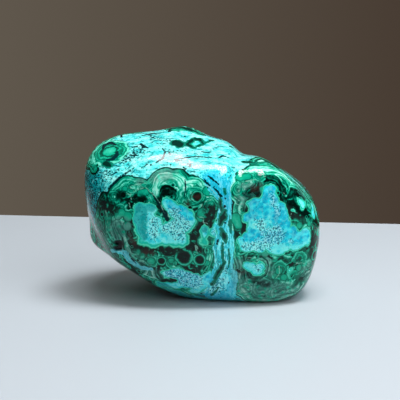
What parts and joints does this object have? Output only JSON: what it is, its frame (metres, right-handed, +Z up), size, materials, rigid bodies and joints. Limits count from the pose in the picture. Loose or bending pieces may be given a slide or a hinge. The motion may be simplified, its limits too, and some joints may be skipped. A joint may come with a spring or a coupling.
{
  "type": "polished chrysocolla specimen",
  "caption": "Polished freeform stone of banded green malachite and turquoise chrysocolla that stands on a small ground flat.",
  "frame": {"origin": "on the surface that the stone stands on, under the middle of the stone's box", "axes": "+Z up, +X along the stone's length to the right as seen from the front, -Y towards the front face with the two windows"},
  "size_m": [0.0886, 0.0544, 0.0633],
  "materials": {
    "polished_stone": "high polish, turquoise chrysocolla with dark and light green malachite bands"
  },
  "bodies": {
    "root": {"stone": "polished_stone"}
  },
  "joints": []
}
